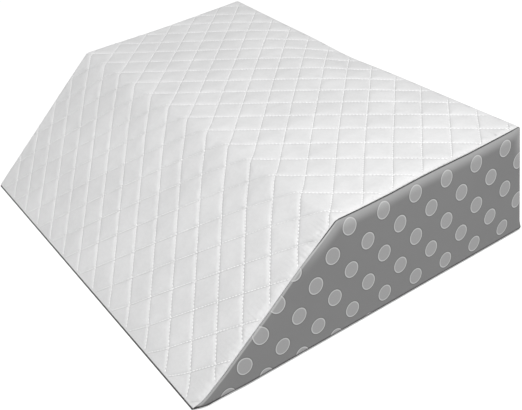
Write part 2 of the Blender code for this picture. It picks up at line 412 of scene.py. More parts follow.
def border_at(bm, s):
    return edges_at([e for e in bm.edges if e.is_boundary], s, 1e-5)


def pulled_on(bm, start, stops):
    """Extrudes the border at the distance start on to each of the distances in stops."""
    edges = border_at(bm, start)
    for s in stops:
        grown = bmesh.ops.extrude_edge_only(bm, edges=edges)["geom"]
        for vert in only(bmesh.types.BMVert, grown):
            vert.co.y = s
        edges = edges_at(only(bmesh.types.BMEdge, grown), s, 1e-6)


def between(start, end, steps):
    return [start + (end - start) * k / steps for k in range(1, steps + 1)]


def close_cover(bm):
    """The closed block, still in flat coordinates. Z says how far a vertex is turned in at a seam."""
    rear, foot, tip = BY_NAME["rear_top"], BY_NAME["rear_foot"], BY_NAME["tip"]
    stops = between(rear["arc_from"], rear["arc_to"], ARC_STEPS)
    stops += between(rear["arc_to"], foot["arc_from"], BACK_STEPS)
    stops += between(foot["arc_from"], foot["arc_to"], ARC_STEPS)
    pulled_on(bm, TOP_TO, stops)
    pulled_on(bm, SLOPE_FROM, between(tip["arc_to"], tip["arc_from"], ARC_STEPS))
    first, last = border_at(bm, 0.0), border_at(bm, foot["arc_to"])
    corner = {}
    for name, edges in (("front", first), ("rear", last)):
        verts = {v for e in edges for v in e.verts}
        corner[name] = [min(verts, key=lambda v: v.co.x), max(verts, key=lambda v: v.co.x)]
    sides = [bm.edges.new((corner["front"][k], corner["rear"][k])) for k in (0, 1)]
    bmesh.ops.holes_fill(bm, edges=first + last + sides)
    for side in (-1, 1):
        border = [e for e in bm.edges if e.is_boundary]
        ends = [e for e in border if all(v.co.x * side > HALF_BODY - 1e-5 for v in e.verts)]
        grown = bmesh.ops.extrude_edge_only(bm, edges=ends)["geom"]
        new = only(bmesh.types.BMVert, grown)
        for vert in new:
            vert.co.x -= side * TURN_IN
            vert.co.z = TURN_UNDER
        rim = [e for e in bm.edges if e.is_boundary and all(v in set(new) for v in e.verts)]
        bmesh.ops.holes_fill(bm, edges=rim)
    return bm


close_cover(cover_bm)
open_edges = sum(1 for e in cover_bm.edges if not e.is_manifold)
print("closed cover:", len(cover_bm.verts), "vertices, open edges:", open_edges)

# %% [markdown]
# ## Give the cover its form
# Each flat place is now sent to the outline, with the crown of the foam, the roll-over beside the
# long seams and a first low swelling in each square, so that the cloth solver starts from a shape
# that is already right.

# %% Relief of the cover before the cloth solver
DROP_STATIONS = (0.0, 0.050, 0.125, 0.185, 0.250, 0.325, 0.440, 0.519)
RIGHT_DROPS = (0.0006, 0.0042, 0.0042, 0.0010, 0.0010, 0.0042, 0.0040, 0.0004)
LEFT_DROPS = (0.0006, 0.0012, 0.0012, 0.0012, 0.0012, 0.0012, 0.0012, 0.0010)
EDGE_REACH = 0.0080
START_PUFF = 0.0009
PLATEAU_FROM = 0.0028
PUFF_FADE = 0.006


def full_drop(x, s):
    """How far below the cover's own face the seam lies: most where the seam pulls hardest."""
    left = np.interp(s, DROP_STATIONS, LEFT_DROPS)
    return np.where(x < 0, left, np.interp(s, DROP_STATIONS, RIGHT_DROPS))


def edge_drop(x, s):
    """How far the cloth falls towards the seam at an end of the block."""
    inwards = np.clip(1 - (HALF_BODY - np.abs(x)) / EDGE_REACH, 0.0, 1.0)
    return full_drop(x, s) * (1 - np.sqrt(np.maximum(0.0, 1 - inwards**2.2)))


def crown_of(x, s):
    slope = (s - SLOPE_FROM) / (FOLD_S - SLOPE_FROM)
    top = (s - FOLD_S) / (TOP_TO - FOLD_S)
    along = np.clip(np.where(s < FOLD_S, slope, top), 0, 1)
    return CROWN * np.sin(math.pi * along) * np.maximum(0.0, 1 - (2 * x / WIDTH) ** 4)


def seam_distance(x, s):
    """How far a place lies from the nearest seam of the quilted sheet."""
    return np.minimum(np.minimum(s - SLOPE_FROM, TOP_TO - s), HALF_BODY - np.abs(x))


def line_distance(x, s):
    """The distance from the nearest stitch line, in metres."""
    u, v = lattice_of(x, s)
    nearest = np.minimum(np.abs(u - np.round(u)), np.abs(v - np.round(v)))
    return nearest * LINE_GAP


def puff_of(x, s):
    """The swelling between stitches: a quick rise beside each line, then nearly flat."""
    u, v = lattice_of(x, s)
    du = np.abs(u - np.round(u)) * LINE_GAP / PLATEAU_FROM
    dv = np.abs(v - np.round(v)) * LINE_GAP / PLATEAU_FROM
    swell = (1 - np.exp(-(du**1.2))) * (1 - np.exp(-(dv**1.2)))
    return swell * eased(seam_distance(x, s), PUFF_FADE)


def formed(flat):
    """Flat places (x, s, turned in) sent to the straight block, with the outward directions."""
    x, s, turned_in = flat[:, 0], flat[:, 1], flat[:, 2]
    place, out = on_outline(s)
    quilted = (s >= SLOPE_FROM) & (s <= TOP_TO) & (turned_in == 0)
    lift = -edge_drop(x, s) * eased(1 + out[:, 1], 1.0) - turned_in
    lift += np.where(quilted, crown_of(x, s) + START_PUFF * puff_of(x, s), 0.0)
    place = place + out * lift[:, None]
    return np.c_[x, place], np.c_[np.zeros(len(x)), out]


def made_cover(bm):
    bmesh.ops.triangulate(bm, faces=[f for f in bm.faces if len(f.verts) > 4])
    bm.verts.ensure_lookup_table()
    flat = np.array([vert.co[:] for vert in bm.verts])
    straight, outwards = formed(flat)
    cover = object_of(bm, "quilted_cover")
    move_to(cover.data, straight)
    give_cloth_map(cover.data, flat[:, :2])
    return cover, flat, outwards


cover, cover_flat, cover_out = made_cover(cover_bm)
face_outwards(cover.data)
print("cover:", len(cover.data.vertices), "vertices")

# %% [markdown]
# ## Let the quilting swell
# The filling presses each square out between its stitches. Sculpted domes would all be the same, so
# Blender's cloth solver does it: the thread lines and the seams are pinned, the cloth between them
# is a little too large, and a gentle pressure lifts it. Gravity is off, and a cap keeps a stray
# vertex from travelling too far.

# %% Swell the squares with the cloth solver
PIN_NEAR_LINE = 0.0004
PIN_NEAR_SEAM = 0.0010
PRESSURE = 3.0
SPARE_CLOTH = -0.015
FRAMES = 20
TRAVEL_CAP = 0.0007
CLOTH_SETTINGS = {
    "quality": 5,
    "mass": 0.3,
    "tension_stiffness": 15,
    "compression_stiffness": 15,
    "shear_stiffness": 5,
    "bending_stiffness": 0.5,
    "vertex_group_mass": "stitched",
    "use_pressure": True,
    "uniform_pressure_force": PRESSURE,
    "shrink_min": SPARE_CLOTH,
}


def pin_stitches(piece, flat):
    x, s = flat[:, 0], flat[:, 1]
    held = (line_distance(x, s) < PIN_NEAR_LINE) | (seam_distance(x, s) < PIN_NEAR_SEAM)
    held |= (flat[:, 2] > 0) | (s < SLOPE_FROM) | (s > TOP_TO)
    group = piece.vertex_groups.new(name="stitched")
    group.add(np.nonzero(held)[0].tolist(), 1.0, "REPLACE")
    return held


def swell(piece, flat):
    """Runs the cloth solver and returns how far each vertex moved."""
    start = places_of(piece.data)
    held = pin_stitches(piece, flat)
    modifier = piece.modifiers.new("swelling", "CLOTH")
    for setting, value in CLOTH_SETTINGS.items():
        setattr(modifier.settings, setting, value)
    modifier.settings.effector_weights.gravity = 0
    modifier.collision_settings.use_collision = False
    modifier.collision_settings.use_self_collision = False
    modifier.point_cache.frame_start = 1
    modifier.point_cache.frame_end = FRAMES
    scene = bpy.context.scene
    for number in range(1, FRAMES + 1):
        scene.frame_set(number)
    graph = bpy.context.evaluated_depsgraph_get()
    moved = places_of(piece.evaluated_get(graph).data) - start
    piece.modifiers.remove(modifier)
    piece.vertex_groups.clear()
    scene.frame_set(1)
    far = np.linalg.norm(moved, axis=1)
    mean_mm, most_mm = (round(float(v) * 1000, 2) for v in (far[~held].mean(), far.max()))
    print("cloth solver:", int((~held).sum()), "free; travel in mm:", mean_mm, "at most", most_mm)
    return moved * np.minimum(1.0, TRAVEL_CAP / np.maximum(far, 1e-9))[:, None]


swelling = swell(cover, cover_flat)

# %% [markdown]
# ## Channels, puckers and slack
# The needle pulls a narrow channel along each line of thread, and sewing the cover to the end cloth
# gathers it in short puckers. Both are finer than the solver's mesh would make by itself, so they
# are pressed in afterwards along the outward direction, with a little slack between the lines.
# First, a vertex that the solver has thrown far from its neighbours is brought back. Last, an
# attribute tells the finish where a channel has a side in its own shade, which is too narrow for
# the mesh to show.

# %% Press in the channels and the puckers
CHANNEL_DEPTH = 0.0008
CHANNEL_HALF_WIDTH = 0.0010
CHANNEL_FADE = 0.004
PUCKER_HEIGHT = 0.00035
PUCKER_REACH = 0.014
PUCKER_FADE = 0.003
SLACK_HEIGHT = 0.00022
SHADE_AT = 0.0010
SHADE_WIDTH = 0.0007
SHADE_ALONG = 0.8
SHADE_CROSS = (0.35, 1.0)
SHADE_CROSS_TOP = 0.5
FREE_FROM = 0.0006
STRAY = 0.00025
CALMING_ROUNDS = 3
SINK_REACH = 0.12


def channel(x, s):
    near = line_distance(x, s) / CHANNEL_HALF_WIDTH
    return -CHANNEL_DEPTH * np.exp(-(near**2)) * eased(seam_distance(x, s), CHANNEL_FADE)


def puckers(x, s):
    """Short ridges square to the long seams, fading away from them."""
    to_seam = HALF_BODY - np.abs(x)
    near = eased(PUCKER_REACH - to_seam, PUCKER_REACH) * eased(to_seam, PUCKER_FADE)
    ridge = waves(s, s * 0 + np.sign(x), 11, 9, 0.011, 0.0045)
    return PUCKER_HEIGHT * near * ridge


def slack(x, s):
    """The cloth's own unevenness between the stitches, a few tenths of a millimetre."""
    away = eased(line_distance(x, s), 0.006) * eased(seam_distance(x, s), 0.010)
    return away * (SLACK_HEIGHT * waves(x, s, 5, 14, 0.05, 0.012))


def shaded_side(x, s):
    """How much a place lies in a channel's own shade, on the side that is turned from the light."""
    u, v = lattice_of(x, s)
    along, cross = (
        np.exp(-((((line - np.round(line)) * LINE_GAP - SHADE_AT) / SHADE_WIDTH) ** 2))
        for line in (u, v)
    )
    low, high = SHADE_CROSS
    on_slope = low + (high - low) * eased(QUILT_FOLD - s, SINK_REACH)
    cross = cross * np.where(s < QUILT_FOLD, on_slope, SHADE_CROSS_TOP)
    return np.maximum(SHADE_ALONG * along, cross) * eased(seam_distance(x, s), CHANNEL_FADE)


def calmed(mesh, flat, moved):
    """The swelling, with each stray vertex between the stitches brought back to its neighbours."""
    ends = np.zeros(2 * len(mesh.edges), dtype=int)
    mesh.edges.foreach_get("vertices", ends)
    first, second = ends.reshape(-1, 2).T
    neighbours = np.bincount(ends, minlength=len(moved))
    free = line_distance(flat[:, 0], flat[:, 1]) > FREE_FROM
    for _ in range(CALMING_ROUNDS):
        total = np.zeros_like(moved)
        np.add.at(total, first, moved[second])
        np.add.at(total, second, moved[first])
        mean = total / neighbours[:, None]
        strays = free & (np.linalg.norm(moved - mean, axis=1) > STRAY)
        moved = np.where(strays[:, None], mean, moved)
    return moved


def finish_cover(piece, flat, outwards, moved):
    moved = calmed(piece.data, flat, moved)
    x, s = flat[:, 0], flat[:, 1]
    quilted = (s >= SLOPE_FROM) & (s <= TOP_TO) & (flat[:, 2] == 0)
    lift = np.where(quilted, channel(x, s) + puckers(x, s) + slack(x, s), 0.0)
    places = places_of(piece.data) + moved + outwards * lift[:, None]
    move_to(piece.data, settled(places))
    give_numbers(piece.data, "shaded_side", shaded_side(x, s))


finish_cover(cover, cover_flat, cover_out, swelling)
print("cover:", len(cover.data.polygons), "faces")

# %% [markdown]
# ## The quilting thread
# A quilting machine leaves a row of short stitches along each line. Drawn as a bump they would be
# missing from the mesh, so each stitch is a small grain of thread. Geometry Nodes suit
# this well: the tree walks along every line, sets points at the stitch pitch, and lays one grain
# along the line at each. On the slope, one family of lines is pulled in so deep that its thread
# hardly shows.

# %% Trace the stitch lines on the cover
LINE_MATCH = 2e-4
THREAD_STOPS = 0.0030
SHORTEST_PATH = 6
CROSS_SINK = 0.1
FOLD_SINK = -1.4


def stitch_paths(flat):
    """For each stitch line, its family (0 or 1) and the numbers of its vertices in order."""
    x, s = flat[:, 0], flat[:, 1]
    sewn = (seam_distance(x, s) > THREAD_STOPS) & (flat[:, 2] == 0)
    paths = []
    for family, (along, across) in enumerate((lattice_of(x, s), lattice_of(x, s)[::-1])):
        for number in LINE_NUMBERS:
            on_line = np.nonzero(sewn & (np.abs(along - number) < LINE_MATCH))[0]
            if len(on_line) > SHORTEST_PATH:
                paths.append((family, on_line[np.argsort(across[on_line])]))
    return paths


def seated(family, s):
    """How proud the thread lies, as a factor. On the slope the second family is pulled in deep."""
    below_fold = QUILT_FOLD - s
    deep = CROSS_SINK + FOLD_SINK * (1 - eased(below_fold, SINK_REACH))
    return np.where((below_fold > 0) & (family == 1), deep, 1.0)[:, None]


def path_mesh(piece, paths, flat, outwards):
    """The paths as loose edges that know which way the cover faces."""
    co = places_of(piece.data)
    places = np.concatenate([co[path] for _, path in paths])
    stands = [outwards[path] * seated(family, flat[path, 1]) for family, path in paths]
    edges = []
    start = 0
    for _, path in paths:
        edges += [(start + k, start + k + 1) for k in range(len(path) - 1)]
        start += len(path)
    mesh = bpy.data.meshes.new("quilting_thread")
    mesh.from_pydata(places.tolist(), edges, [])
    layer = mesh.attributes.new("facing", "FLOAT_VECTOR", "POINT")
    layer.data.foreach_set("vector", np.concatenate(stands).ravel())
    thread = bpy.data.objects.new("quilting_thread", mesh)
    bpy.context.scene.collection.objects.link(thread)
    return thread


paths = stitch_paths(cover_flat)
thread = path_mesh(cover, paths, cover_flat, cover_out)
print("stitch lines:", len(paths))

# %% [markdown]
# ## A tree that sews
# The tree takes any loose edges and sews along them. Its inputs are named after what a machinist
# would set: the stitch pitch, the length of thread that shows, its thickness, and how proud it lies.

# %% Build the sewing tree
GRAIN_SEGMENTS = 6
GRAIN_RINGS = 4
GRAIN_VERTS = GRAIN_SEGMENTS * (GRAIN_RINGS - 1) + 2
GRAIN_SIZES = (0.82, 1.12)


class TreeBuilder:
    """Adds nodes to a tree: settings first, then socket values or links."""

    def __init__(self, tree):
        self.tree = tree

    def node(self, kind, settings=None, **sockets):
        made = self.tree.nodes.new(kind)
        for name, value in (settings or {}).items():
            setattr(made, name, value)
        for name, value in sockets.items():
            self.put(made, name, value)
        return made

    def put(self, made, name, value):
        """Links or sets an input, named in words with underscores, or by i and its number."""
        if name[0] == "i" and name[1:].isdigit():
            socket = made.inputs[int(name[1:])]
        else:
            socket = next(s for s in made.inputs if s.name.replace(" ", "_").lower() == name)
        value = getattr(value, "socket", value)
        if isinstance(value, bpy.types.NodeSocket):
            self.tree.links.new(value, socket)
        else:
            socket.default_value = value


def sewing_tree():
    """Returns the tree and the identifiers of its named inputs."""
    tree = bpy.data.node_groups.new("sew_along_edges", "GeometryNodeTree")
    ask = tree.interface.new_socket
    ask("Geometry", in_out="INPUT", socket_type="NodeSocketGeometry")
    ask("Geometry", in_out="OUTPUT", socket_type="NodeSocketGeometry")
    names = {
        "Stitch Pitch": "NodeSocketFloat",
        "Shown Length": "NodeSocketFloat",
        "Thread Radius": "NodeSocketFloat",
        "Proud": "NodeSocketFloat",
        "Seed": "NodeSocketInt",
        "Thread Finish": "NodeSocketMaterial",
    }
    identifiers = {n: ask(n, in_out="INPUT", socket_type=k).identifier for n, k in names.items()}
    build = TreeBuilder(tree)
    given = build.node("NodeGroupInput").outputs
    curve = build.node("GeometryNodeMeshToCurve", mesh=given["Geometry"])
    pitch, radius = given["Stitch Pitch"], given["Thread Radius"]
    evenly = {"mode": "LENGTH"}
    even = build.node("GeometryNodeResampleCurve", evenly, curve=curve.outputs[0], length=pitch)
    a_vector = {"data_type": "FLOAT_VECTOR"}
    facing = build.node("GeometryNodeInputNamedAttribute", a_vector, name="facing")
    times = {"operation": "SCALE"}
    lift = build.node("ShaderNodeVectorMath", times, i0=facing.outputs[0], scale=given["Proud"])
    lifted = build.node("GeometryNodeSetPosition", geometry=even.outputs[0], offset=lift.outputs[0])
    grain = build.node(
        "GeometryNodeMeshUVSphere", segments=GRAIN_SEGMENTS, rings=GRAIN_RINGS, radius=1.0
    )
    half = build.node("ShaderNodeMath", {"operation": "MULTIPLY"}, i0=given["Shown Length"], i1=0.5)
    size = build.node("ShaderNodeCombineXYZ", x=radius, y=radius, z=half.outputs[0])
    low, high = GRAIN_SIZES
    a_number = {"data_type": "FLOAT"}
    uneven = build.node("FunctionNodeRandomValue", a_number, i2=low, i3=high, seed=given["Seed"])
    sized = build.node("ShaderNodeVectorMath", times, i0=size.outputs[0], scale=uneven.outputs[1])
    tangent = build.node("GeometryNodeInputTangent")
    turned = build.node("FunctionNodeAlignRotationToVector", {"axis": "Z"}, vector=tangent.outputs[0])
    sewn = build.node(
        "GeometryNodeInstanceOnPoints",
        points=lifted.outputs[0],
        instance=grain.outputs[0],
        rotation=turned.outputs[0],
        scale=sized.outputs[0],
    )
    real = build.node("GeometryNodeRealizeInstances", geometry=sewn.outputs[0])
    smooth = build.node("GeometryNodeSetShadeSmooth", geometry=real.outputs[0])
    finished = build.node(
        "GeometryNodeSetMaterial", geometry=smooth.outputs[0], material=given["Thread Finish"]
    )
    build.node("NodeGroupOutput", geometry=finished.outputs[0])
    return tree, identifiers


sewing, sewing_inputs = sewing_tree()
print("sewing tree:", len(sewing.nodes), "nodes")

# %% [markdown]
# ## Shader maths in plain Python
# Cloth needs patterns that are sums and products of simple waves. Written node by node such maths is
# hard to read, so one small class wraps a socket: adding or multiplying two wrapped sockets adds the
# Math node that does it.

# %% A socket that understands arithmetic
def operator(operation, swapped=False):
    """A method that adds one Math node to the tree, with its two inputs in either order."""

    def applied(self, other):
        first, second = (other, self) if swapped else (self, other)
        made = self.build.node("ShaderNodeMath", {"operation": operation}, i0=first, i1=second)
        return Value(self.build, made.outputs[0])

    return applied


class Value:
    """A node socket that holds a number, with Python's operators on it."""

    __add__ = __radd__ = operator("ADD")
    __sub__ = operator("SUBTRACT")
    __rsub__ = operator("SUBTRACT", swapped=True)
    __mul__ = __rmul__ = operator("MULTIPLY")
    __truediv__ = operator("DIVIDE")
    at_least = operator("MAXIMUM")
    modulo = operator("MODULO")

    def __init__(self, build, socket):
        self.build = build
        self.socket = socket

    def math(self, operation):
        made = self.build.node("ShaderNodeMath", {"operation": operation}, i0=self)
        return Value(self.build, made.outputs[0])

    def rising(self, low, high):
        """0 below low, 1 above high, smooth between."""
        kind = {"interpolation_type": "SMOOTHSTEP"}
        made = self.build.node("ShaderNodeMapRange", kind, value=self, from_min=low, from_max=high)
        return Value(self.build, made.outputs[0])


class Finish(TreeBuilder):
    """A material under construction."""

    def __init__(self, name, constants):
        self.material = bpy.data.materials.new(name)
        self.material.use_nodes = True
        super().__init__(self.material.node_tree)
        self.surface = self.tree.nodes["Principled BSDF"]
        for socket, value in constants.items():
            self.surface.inputs[socket].default_value = value
        place = self.node("ShaderNodeTexCoord")
        self.place = place.outputs["Object"]
        self.uv = place.outputs["UV"]

    def parts(self, vector):
        split = self.node("ShaderNodeSeparateXYZ", vector=vector)
        return [Value(self, out) for out in split.outputs]

    def noise(self, vector, scale, detail=2.0, roughness=0.5):
        made = self.node(
            "ShaderNodeTexNoise", vector=vector, scale=scale, detail=detail, roughness=roughness
        )
        return Value(self, made.outputs[0])

    def attribute(self, name):
        made = self.node("ShaderNodeAttribute", {"attribute_name": name})
        return Value(self, made.outputs["Fac"])

    def vector(self, x, y):
        """A vector from two wrapped numbers."""
        return self.node("ShaderNodeCombineXYZ", x=x, y=y).outputs[0]

    def mixed(self, factor, first, second):
        """Blends two colours by a number."""
        made = self.node("ShaderNodeMix", {"data_type": "RGBA"}, i0=factor, i6=first, i7=second)
        return made.outputs[2]

    def bumped(self, height, distance, strength=1.0):
        made = self.node("ShaderNodeBump", height=height, distance=distance, strength=strength)
        return made.outputs[0]

    def wear(self, colour=None, roughness=None, normal=None):
        for name, value in (("base_color", colour), ("roughness", roughness), ("normal", normal)):
            if value is not None:
                self.put(self.surface, name, value)
        return self.material


def grey(value):
    return (value, value, value, 1.0)


# %% [markdown]
# ## White quilting cloth
# The cover's face is a brushed microfibre: dull, faintly napped, and so fine that the weave only
# shows as a soft grain. Two crossed waves make the weave, noise that is stretched across the seam
# makes the small gathers beside it, and slow noise gives the slight mottling that washing leaves.

# %% White cloth and its thread
WEAVE_PERIOD = 0.0011
NAP_PER_METRE = 900.0
PUCKERS_PER_METRE = 330
PUCKERS_ACROSS = 22
STREAKS_PER_METRE = 240
STREAKS_ALONG = 30
MOTTLE_PER_METRE = 14.0
FINE_PER_METRE = 210
WHITE_LOW = (0.72, 0.72, 0.722, 1)
WHITE_HIGH = (0.81, 0.81, 0.812, 1)
SHADE_GREY = 0.38
SHADE_SHARE = 0.5
RELIEF = {"weave": 0.35, "drawn": 6.0, "streak": 1.2}
RELIEF_DEPTH = 0.00035
TWISTS_PER_METRE = 1800.0


def white_cloth():
    fine_nap = {"Roughness": 0.85, "Sheen Weight": 0.25, "Sheen Roughness": 0.5}
    finish = Finish("white_quilted_cloth", fine_nap)
    across, along, _ = finish.parts(finish.uv)
    k = 2 * math.pi / WEAVE_PERIOD
    weave = (across * k).math("SINE") * (along * k).math("SINE")
    nap = finish.noise(finish.place, NAP_PER_METRE, 3.0, 0.6)
    gathers = finish.vector(across * PUCKERS_ACROSS, along * PUCKERS_PER_METRE)
    drawn = finish.noise(gathers, 1.0, 2.0)
    right = across.rising(HALF_BODY - 0.030, HALF_BODY - 0.004)
    left = (across * -1.0).rising(HALF_BODY - 0.020, HALF_BODY)
    slanting = across * STREAKS_ALONG + along * STREAKS_ALONG
    stroke = along * STREAKS_PER_METRE - across * STREAKS_PER_METRE
    streak = finish.noise(finish.vector(slanting, stroke), 1.0, 2.0)
    mottle = finish.noise(finish.place, MOTTLE_PER_METRE, 3.0, 0.55)
    grain = finish.vector(across * FINE_PER_METRE, along * FINE_PER_METRE)
    fine = finish.noise(grain, 1.0, 4.0, 0.7)
    blend = mottle.rising(0.3, 0.7) * 0.6 + fine.rising(0.25, 0.75) * 0.4
    colour = finish.mixed(blend, WHITE_LOW, WHITE_HIGH)
    shade = finish.attribute("shaded_side") * SHADE_SHARE
    colour = finish.mixed(shade, colour, grey(SHADE_GREY))
    gathered = drawn * (right + left) * RELIEF["drawn"]
    relief = weave * RELIEF["weave"] + nap + gathered + streak * RELIEF["streak"]
    return finish.wear(colour, 0.80 + nap * 0.12, finish.bumped(relief, RELIEF_DEPTH, 0.5))


def white_thread():
    finish = Finish("white_thread", {"Roughness": 0.45, "Sheen Weight": 0.1})
    twist = finish.noise(finish.place, TWISTS_PER_METRE, 2.0)
    colour = finish.mixed(twist, grey(0.93), grey(0.99))
    return finish.wear(colour, 0.40 + twist * 0.2, finish.bumped(twist, 0.0002, 0.4))


white_finish, thread_finish = white_cloth(), white_thread()
cover.data.materials.clear()
cover.data.materials.append(white_finish)
print("white cloth nodes:", len(white_finish.node_tree.nodes))

# %% Sew the quilting thread
STITCH_PITCH = 0.0042
STITCH_SHOWN = 0.0034
THREAD_RADIUS = 0.00080
THREAD_PROUD = 0.00045


def sew(piece, **sizes):
    """Runs the sewing tree on the piece's edges and keeps the result as a plain mesh."""
    modifier = piece.modifiers.new("sewing", "NODES")
    modifier.node_group = sewing
    for name, value in sizes.items():
        modifier[sewing_inputs[name.replace("_", " ").title()]] = value
    return flattened(piece)


sew(
    thread,
    stitch_pitch=STITCH_PITCH,
    shown_length=STITCH_SHOWN,
    thread_radius=THREAD_RADIUS,
    proud=THREAD_PROUD,
    seed=3,
    thread_finish=thread_finish,
)
print("quilting thread:", len(thread.data.vertices) // GRAIN_VERTS, "stitches")

# %% [markdown]
# ## End panels
# Each end of the pillow is one flat piece of thin woven cloth, cut to the side outline and sewn
# round its edge. It is pulled over the foam, so it stands a little proud in the middle and turns in
# at the seam. The shape is a height over the outline: a constrained triangulation fills the outline
# evenly, and each point's height comes from its distance to the seam.

# %% A thin panel over an outline
SHEET_THICKNESS = 0.0012
RING_INSETS = (0.0, 0.0006, 0.0014, 0.0026, 0.0042, 0.0065, 0.0095, 0.0140)
LEAST_DROP = 0.0001
SEAM_GAP = 0.0006
SEAM_TUCK = 0.0034
SEAM_ROLL = 0.0120
LOW_RIM = 0.016
PANEL_SWELL = 0.0008
SWELL_REACH = 0.045


def polygon_distance(points, ring):
    """The distance of each point from the closed ring of points."""
    ends = np.roll(ring, -1, axis=0)
    along = ends - ring
    length2 = (along**2).sum(1)
    best = np.full(len(points), 1e9)
    for a, d, l2 in zip(ring, along, length2):
        t = np.clip(((points - a) @ d) / l2, 0, 1)
        best = np.minimum(best, np.linalg.norm(points - a - t[:, None] * d, axis=1))
    return best


def inside_ring(points, ring):
    """Whether each point lies inside the closed ring."""
    x, y = points[:, 0], points[:, 1]
    crossed = np.zeros(len(points), bool)
    for (x0, y0), (x1, y1) in zip(ring, np.roll(ring, -1, axis=0)):
        if y0 == y1:
            continue
        spans = (y0 > y) != (y1 > y)
        crossed ^= spans & (x < x0 + (y - y0) * (x1 - x0) / (y1 - y0))
    return crossed


def filled_outline(ring, inward, grid):
    """Even triangles inside a ring, with closer rows beside the seam: points, faces, seam distance."""
    rows = [ring]
    for inset in RING_INSETS[1:]:
        row = ring + inward * inset
        clear = inside_ring(row, ring) & (polygon_distance(row, ring) > inset * 0.97)
        rows.append(row[clear])
    low, high = ring.min(0), ring.max(0)
    u = np.arange(low[0] + grid / 2, high[0], grid)
    v = np.arange(low[1] + grid / 2, high[1], grid)
    inner = np.array([(a + (k % 2) * grid / 2, b) for k, b in enumerate(v) for a in u])
    far = inside_ring(inner, ring) & (polygon_distance(inner, ring) > RING_INSETS[-1] + grid * 0.5)
    rows.append(inner[far])
    points = np.concatenate(rows)
    border = [(k, (k + 1) % len(ring)) for k in range(len(ring))]
    found = delaunay_2d_cdt([Vector(p) for p in points], border, [], 1, 1e-7)
    verts = np.array([v[:] for v in found[0]])
    return verts, found[2], polygon_distance(verts, ring)


def rim_height(distance):
    """The panel's height at a distance from the seam: tucked in at the seam, swollen far from it."""
    turned = np.clip(distance / SEAM_ROLL, 0, 1)
    rise = SEAM_TUCK * (np.maximum(0, 1 - (1 - turned) ** 2.4) ** 0.7 - 1)
    return rise + PANEL_SWELL * eased(distance, SWELL_REACH)


def thickening(distance):
    """The share of the sheet's thickness that it has at a distance from its edge."""
    return eased(distance + 0.0015, 0.003)


def flat_sheet(name, ring, inward, grid, flip=False):
    """A closed thin sheet over an outline, with its places and their distances from the seam.
    It is still flat: z is 0 on its shown side and -1 on its inner side."""
    verts, faces, distance = filled_outline(ring, inward, grid)
    bm = bmesh.new()
    top = [bm.verts.new((u, v, 0)) for u, v in verts]
    for face in faces:
        order = face[::-1] if flip else face
        bm.faces.new([top[k] for k in order])
    shown = bm.faces[:]
    grown = bmesh.ops.extrude_face_region(bm, geom=shown, use_keep_orig=True)["geom"]
    for vert in only(bmesh.types.BMVert, grown):
        vert.co.z = -1
    piece = object_of(bm, name)
    co = places_of(piece.data)
    known = {(round(u, 7), round(v, 7)): d for (u, v), d in zip(verts, distance)}
    away = np.array([known[round(a, 7), round(b, 7)] for a, b in co[:, :2]])
    return piece, co, away


def lay_panel(piece, straight, cloth_places, from_seam):
    """Lays a flat sheet on the pillow and gives it what its finish reads."""
    move_to(piece.data, settled(straight))
    give_cloth_map(piece.data, cloth_places)
    give_numbers(piece.data, "from_seam", from_seam)
    face_outwards(piece.data)


print("rows beside a seam, in mm:", [round(inset * 1000, 1) for inset in RING_INSETS])

# %% Cut and place the two end panels
END_STEP = 0.005
END_GRID = 0.008
ARC_STATIONS = 6
CREASE_HEIGHT = 0.00035
CREASES_FROM = 0.02
LOW_RIM_FROM = 0.02
LOW_RIM_SPREAD = 0.05
LOW_RIM_LIFT = 0.75
SEAM_BITE = 0.0002


def end_ring(side):
    """The seam line of an end: places on the outline that the edge has dropped to."""
    stations = []
    for piece in PIECES:
        stations += [piece["arc_from"]] + between(piece["arc_from"], piece["arc_to"], ARC_STATIONS)
        count = max(2, round((piece["run_to"] - piece["arc_to"]) / END_STEP))
        stations += between(piece["arc_to"], piece["run_to"], count)[:-1]
    s = np.unique(np.round(stations, 7))
    place, out = on_outline(s)
    drop = full_drop(np.full(len(s), float(side)), s) * eased(1 + out[:, 1], 1.0)
    drop += LEAST_DROP + SEAM_GAP * eased(s, 0.02) * eased(TOP_TO - s, 0.01)
    return place - out * drop[:, None], -out


def end_panel(name, side):
    piece, co, away = flat_sheet(name, *end_ring(side), END_GRID, flip=side < 0)
    y, z, inner = co[:, 0], co[:, 1], co[:, 2] < 0
    creases = CREASE_HEIGHT * waves(y, z, 21 + side, 10, 0.16, 0.05) * eased(away, CREASES_FROM)
    low = eased(LOW_RIM - z, LOW_RIM) * eased(y - LOW_RIM_FROM, LOW_RIM_SPREAD)
    untucked = LOW_RIM_LIFT * SEAM_TUCK * low * (1 - eased(away, SEAM_ROLL))
    height = rim_height(away) + creases + untucked
    height = np.where(inner, height - SHEET_THICKNESS * thickening(away), height)
    x = side * (HALF_BODY + SEAM_TUCK - SEAM_BITE + height)
    lay_panel(piece, np.c_[x, y, z], co[:, :2], away)
    return piece


end_panels = {-1: end_panel("end_panel_left", -1), 1: end_panel("end_panel_right", 1)}
print("end panels:", [len(p.data.polygons) for p in end_panels.values()], "faces")

# %% [markdown]
# ## Grey dotted cloth
# The ends and the back are thin grey cloth with a printed pattern of pale dots. The dots stand in
# rows, each row half a period along from the last, and each dot has a slightly paler rim where the
# ink is thicker. The pattern reads the cloth's own UV map, which is in metres, so that it turns in
# with the cloth at the seams.

